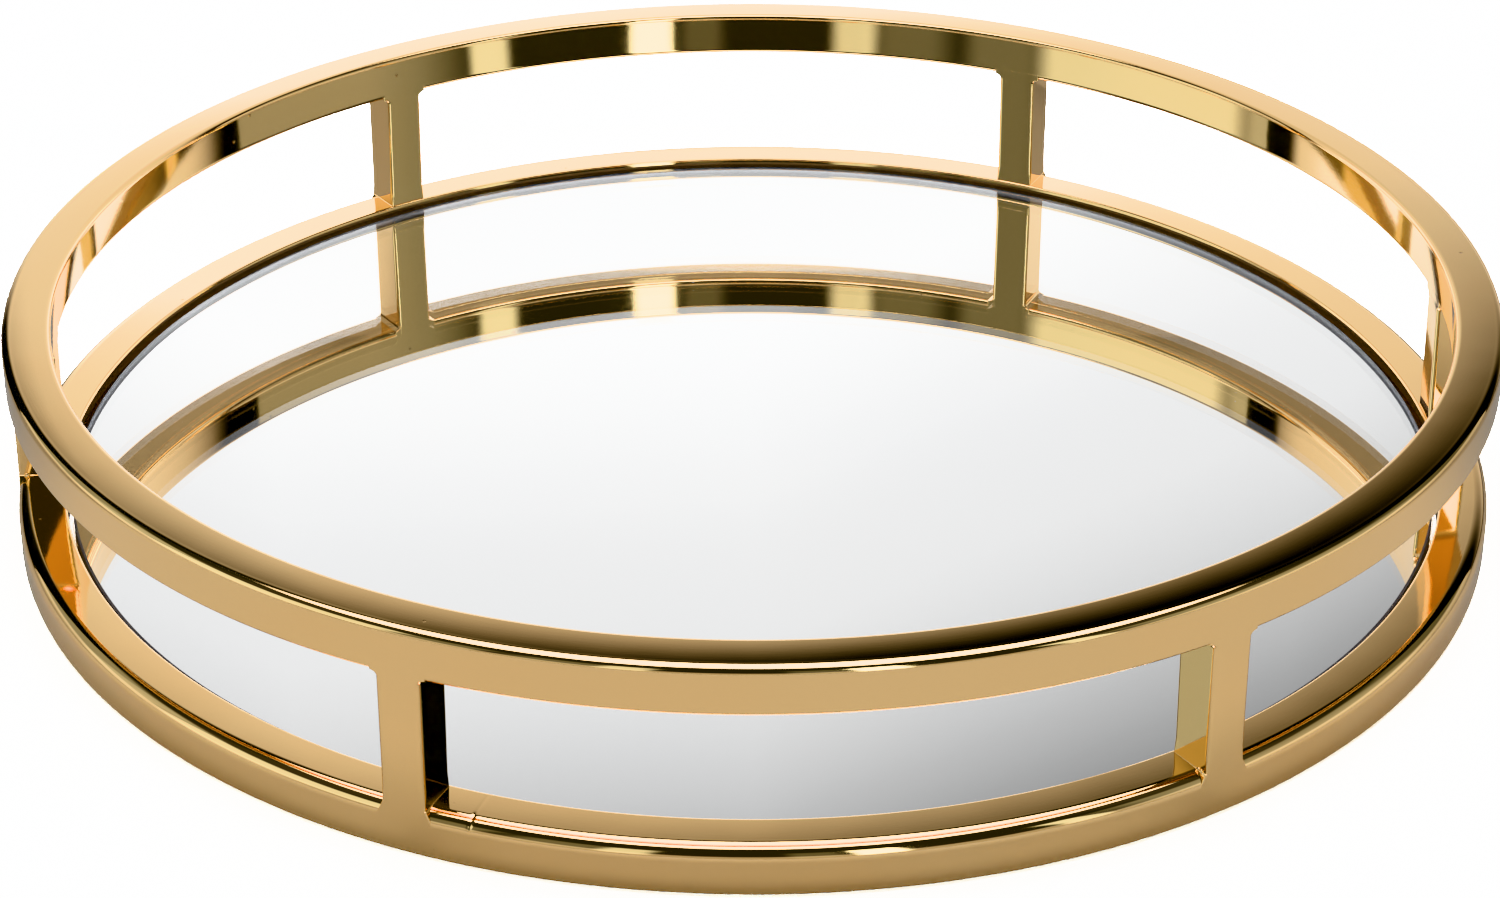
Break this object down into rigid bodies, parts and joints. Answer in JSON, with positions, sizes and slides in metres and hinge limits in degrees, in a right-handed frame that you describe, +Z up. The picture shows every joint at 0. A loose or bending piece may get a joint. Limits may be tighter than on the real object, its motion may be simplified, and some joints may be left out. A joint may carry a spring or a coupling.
{
  "type": "vanity tray",
  "caption": "Round mirrored vanity tray: two polished brass-coloured rings of square tube joined by short uprights, with open windows in the side.",
  "frame": {"origin": "on the tray's axis, on the surface that the bottom ring stands on", "axes": "+Z up along the tray's axis; -Y is the front, the side seen nearest"},
  "size_m": [0.31, 0.31, 0.048],
  "materials": {
    "plated_brass": "square steel tube, welded, ground flush and plated in polished brass colour",
    "plated_tabs": "flat steel tabs plated with the frame",
    "mirror": "silvered float glass with a ground edge",
    "fibreboard": "brown hard fibreboard, smooth face down",
    "tape": "white double-sided foam tape",
    "felt": "short black felt",
    "zinc_steel": "bright zinc plate"
  },
  "bodies": {
    "root": {"bottom_ring": "plated_brass", "top_ring": "plated_brass", "upright_1": "plated_brass", "upright_2": "plated_brass", "upright_3": "plated_brass", "upright_4": "plated_brass", "upright_5": "plated_brass", "upright_6": "plated_brass", "mirror": "mirror", "mounting_tape_1": "tape", "mounting_tape_2": "tape", "mounting_tape_3": "tape", "mounting_tape_4": "tape", "backing_board": "fibreboard", "felt_lining": "felt", "support_tab_1": "plated_tabs", "support_tab_2": "plated_tabs", "support_tab_3": "plated_tabs", "support_tab_4": "plated_tabs", "support_tab_5": "plated_tabs", "support_tab_6": "plated_tabs", "tab_screw_1": "zinc_steel", "tab_screw_2": "zinc_steel", "tab_screw_3": "zinc_steel", "tab_screw_4": "zinc_steel", "tab_screw_5": "zinc_steel", "tab_screw_6": "zinc_steel"}
  },
  "joints": []
}
